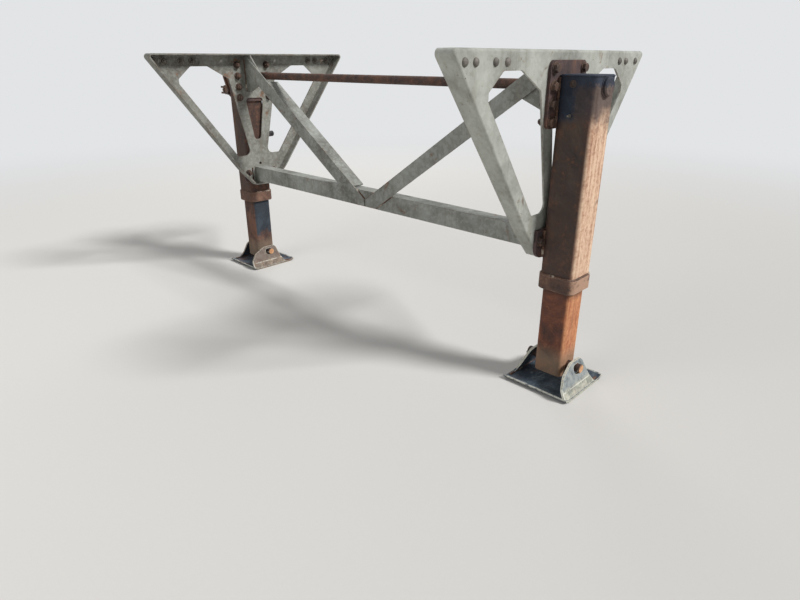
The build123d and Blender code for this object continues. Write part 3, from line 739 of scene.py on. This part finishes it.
def leg_welds(weld, leg_finish):
    """Beads beside each leg at its plate and lug and round its collar, painted ones at the caps."""
    groove_x = LEG_HALF - 0.006
    runs = [(CAP_FOOT - 0.003, PLATE_FOOT + 0.002), (LUG_TOP - 0.002, LUG_FOOT + 0.002)]
    for side, sign in SIDES.items():
        groove_y = sign * (LEG_INBOARD + 0.003)
        grids = []
        for x in (-groove_x, groove_x):
            for run, (top, foot) in enumerate(runs):
                ends = [(x, groove_y, top), (x, groove_y, foot)]
                grids.append(bead(ends, 0.0062, up=(0, 1, 0), seed=run + int(x > 0) + 2))
        collar = rounded_square(LEG_HALF + 0.001, LEG_CORNER + 0.001, COLLAR_TOP, sign * LEG_Y)
        grids.append(bead(collar, 0.0046, seed=6))
        piece(f"{side}_leg_welds", grids, weld, smooth=True)
        cap = rounded_square(LEG_HALF - 0.0005, LEG_CORNER, CAP_FOOT, sign * LEG_Y)
        grids = [bead(cap, 0.0026, seed=6)]
        piece(f"{side}_cap_weld", grids, leg_finish, smooth=True)
    shaft_cap = upright_ring((0, LEG_OUTBOARD, SHAFT_Z), SHAFT_CAP_RADIUS + 0.0005, 49)
    grids = [bead(shaft_cap, 0.0026, up=(0, 1, 0))]
    piece("shaft_cap_weld", grids, leg_finish, smooth=True)


def hook_welds(weld):
    """Beads down both sides and under the foot of the crank's hook."""
    half, y = HOOK_HALF + 0.0005, -LEG_OUTBOARD - 0.001
    high, low = HOOK_TOP - 0.002, HOOK_TOP - HOOK_HEIGHT - 0.0005
    sides = [[(x, y, high), (x, y, low)] for x in (-half, half)]
    grids = [bead(ends, 0.0038, up=(0, 1, 0), seed=4) for ends in sides]
    grids.append(bead([(-half, y, low), (half, y, low)], 0.0038, seed=9))
    piece("hook_welds", grids, weld, smooth=True)


def brace_welds(weld):
    """Beads round the lower brace's end tabs, down the gussets, and where the diagonals lap."""
    tab_top, tab_foot = BRACE_TOP - 0.004, BRACE_TOP - TAB_HEIGHT
    lap_x = BRACE_FACE_X + 0.0005
    # (y, z) along the lower and the upper edge of a diagonal's end
    lap_below = [(0.004, DIAGONAL_FOOT), (0.0664, DIAGONAL_FOOT), (0.162, BRACE_TOP - 0.001)]
    lap_above = [(0.004, DIAGONAL_FOOT + 0.0302), (0.054, BRACE_TOP - 0.002)]
    for side, sign in SIDES.items():
        web = sign * WEB_INBOARD
        sides = [[(x, web, tab_top), (x, web, tab_foot)] for x in (-TAB_HALF, TAB_HALF)]
        grids = [bead(ends, up=(0, 1, 0)) for ends in sides]
        across = [(x, web, tab_foot - 0.003) for x in (-TAB_HALF + 0.002, TAB_HALF - 0.002)]
        grids.append(bead(across, seed=3))
        gusset = [(BRACE_FACE_X, web, z) for z in (GUSSET_TOP, GUSSET_FOOT)]
        grids.append(bead(gusset, up=(0, 1, 0), seed=8))
        for seed, lap in ((10, lap_below), (11, lap_above)):
            path = [(lap_x, sign * y, z) for y, z in lap]
            grids.append(bead(path, 0.0032, up=(1, 0, 0), seed=seed))
        piece(f"{side}_brace_welds", grids, weld, smooth=True)


def shoe_welds(weld):
    """Beads inside each shoe, where the cheeks meet the base."""
    for side, sign in SIDES.items():
        grids = []
        for y in (sign * LEG_Y - CHEEK_FOOT, sign * LEG_Y + CHEEK_FOOT):
            grids.append(bead([(x, y, GROUND + 0.0085) for x in (-0.100, 0.100)], 0.0045, seed=5))
        piece(f"{side}_shoe_welds", grids, weld, body=f"{side}_shoe", smooth=True)


def cotter(centre):
    """A split pin along X: two legs at +-spread(x), an eye in front and spread tips behind."""
    x = np.array([0.0195, 0.016, 0.0, -0.016, -0.0180, -0.0205])
    spread = np.array([0.0012, 0.0009, 0.0009, 0.0009, 0.0024, 0.0050])
    centre = np.asarray(centre, float)
    legs = [np.stack([x, 0 * x, way * spread], axis=1) + centre for way in (-1, 1)]
    paths = [resampled(leg, 0.002) for leg in legs]
    paths.append(upright_ring(centre + (0.0204, 0, 0), 0.0032, 17))
    return [swept(path, 0.0011, cols=8, up=(0, 1, 0)) for path in paths]


def axle_pins(steel):
    """A split pin at each end of both shoe axles."""
    for side, sign in SIDES.items():
        grids = []
        for out in (-1, 1):
            grids += cotter((0.0, sign * LEG_Y + out * (AXLE_HALF - 0.0036), AXLE_Z))
        piece(f"{side}_axle_cotters", grids, steel, smooth=True)


def front_fittings(steel, bolt_finish):
    """On each leg's front a nipple, hexagon foot to ball end, and a domed plug above it."""
    profile = [(0, 0.0052), (0.004, 0.0052), (0.0045, 0.0032), (0.008, 0.003), (0.0095, 0.0024)]
    profile += [(0.0115, 0.0034), (0.0135, 0.0034), (0.015, 0.0022)]
    thick = 0.0018
    disc = [(0, 0.0105), (thick - 0.0004, 0.0105), (thick, 0.0098)]
    for side, sign in SIDES.items():
        y = sign * FITTING_Y
        nipple = turned((LEG_HALF, y, NIPPLE_Z), (1, 0, 0), profile, cols=18, flats=0.0104)
        piece(f"{side}_grease_nipple", [nipple], steel)
        washer = turned((LEG_HALF, y, PLUG_Z), (1, 0, 0), disc)
        dome = round_head((LEG_HALF + thick, y, PLUG_Z), (1, 0, 0), 0.0078, 0.0042)
        piece(f"{side}_front_plug", [washer, dome], bolt_finish)


def studio_floor(pale):
    """A pale disc on the ground that fades into the world's colour away from the middle."""
    reach, corners = 30.0, 64
    fade_start, fade_end = 2.4, 7.0
    f = Finish("studio_floor")
    distance = f.node("VectorMath", {0: f.here}, operation="LENGTH").outputs["Value"]
    f.dress(rgb(206, 204, 200), 0.9, f.noise(60, 3), 0.0004)
    glow = f.node("Emission", {"Color": pale})
    seen = f.node("LightPath", {}).outputs["Is Camera Ray"]
    faded = f.times(f.band(distance, fade_start, fade_end), seen)
    mixed = f.node("MixShader", {0: faded, 1: f.shader.outputs[0], 2: glow.outputs[0]})
    f.feed(f.nodes["Material Output"], {"Surface": mixed.outputs[0]})
    t = np.linspace(0, 2 * np.pi, corners, endpoint=False)
    rim = np.stack([reach * np.cos(t), reach * np.sin(t), np.full_like(t, GROUND)], axis=1)
    mesh = bpy.data.meshes.new("studio_floor")
    mesh.from_pydata(rim.tolist(), [], [list(range(corners))])
    mesh.materials.append(f.material)
    floor = bpy.data.objects.new("studio_floor", mesh)
    bpy.context.scene.collection.objects.link(floor)


def studio_world(pale):
    """A pale backdrop at full strength for the camera and for reflections, and dimmer as light."""
    world = bpy.data.worlds.new("studio")
    world.use_nodes = True
    tree = world.node_tree
    back = tree.nodes["Background"]
    path = tree.nodes.new("ShaderNodeLightPath")
    either = tree.nodes.new("ShaderNodeMath")
    either.operation = "MAXIMUM"
    tree.links.new(path.outputs["Is Camera Ray"], either.inputs[0])
    tree.links.new(path.outputs["Is Glossy Ray"], either.inputs[1])
    as_light, as_seen = 0.26, 1.0
    level = tree.nodes.new("ShaderNodeMapRange")
    level.inputs["To Min"].default_value = as_light
    level.inputs["To Max"].default_value = as_seen
    tree.links.new(either.outputs[0], level.inputs["Value"])
    tree.links.new(level.outputs["Result"], back.inputs["Strength"])
    back.inputs["Color"].default_value = pale
    bpy.context.scene.world = world


def lamps():
    """A key from the left rear and two soft fills, all aimed at the middle of the gear."""
    target = Vector((0.0, 0.3, -0.5))
    rows = [
        # name, kind, place, size (an angle in radians for the sun, else metres), strength
        ("key", "SUN", (-1.7, 4.5, 3.6), 0.22, 3.3),
        ("front_fill", "AREA", (4.2, -0.6, 2.2), 3.0, 60.0),
        ("back_fill", "AREA", (-3.5, -4.0, 2.6), 3.0, 70.0),
    ]
    for name, kind, place, size, strength in rows:
        lamp = bpy.data.lights.new(name, kind)
        if kind == "SUN":
            lamp.angle = size
        else:
            lamp.size = size
        lamp.energy = strength
        holder = bpy.data.objects.new(name, lamp)
        holder.location = place
        holder.rotation_euler = (target - Vector(place)).to_track_quat("-Z", "Y").to_euler()
        bpy.context.scene.collection.objects.link(holder)


def camera():
    """The photograph's camera: place, heading, tilt, roll and lens."""
    heading, tilt, roll = math.radians(224.49), math.radians(-22.93), math.radians(0.09)
    level = math.cos(tilt)
    ahead = Vector((level * math.cos(heading), level * math.sin(heading), math.sin(tilt)))
    lens = bpy.data.cameras.new("view")
    lens.sensor_width = 36.0
    lens.lens = 25.59
    lens.clip_end = 200.0
    holder = bpy.data.objects.new("view", lens)
    holder.location = (1.678, 1.818, -0.0265)
    holder.rotation_mode = "QUATERNION"
    holder.rotation_quaternion = Quaternion(ahead, roll) @ ahead.to_track_quat("-Z", "Y")
    bpy.context.scene.collection.objects.link(holder)
    bpy.context.scene.camera = holder


leg_finish = dress_nodes()
rusty_bolt = fastener_steel("plate_bolt_rust", rgb(48, 40, 39), rgb(98, 74, 60))
dull_bolt = fastener_steel("rail_bolt_zinc", rgb(78, 74, 70), rgb(128, 122, 114))
weld = weld_metal()
plate_fasteners(rusty_bolt)
rail_fasteners(dull_bolt)
gearbox_fasteners(rusty_bolt)
leg_welds(weld, leg_finish)
hook_welds(weld)
brace_welds(weld)
shoe_welds(weld)
axle_pins(dull_bolt)
front_fittings(dull_bolt, rusty_bolt)

backdrop = rgb(226, 228, 230)
studio_floor(backdrop)
studio_world(backdrop)
lamps()
camera()
bpy.context.scene.view_settings.view_transform = "Standard"
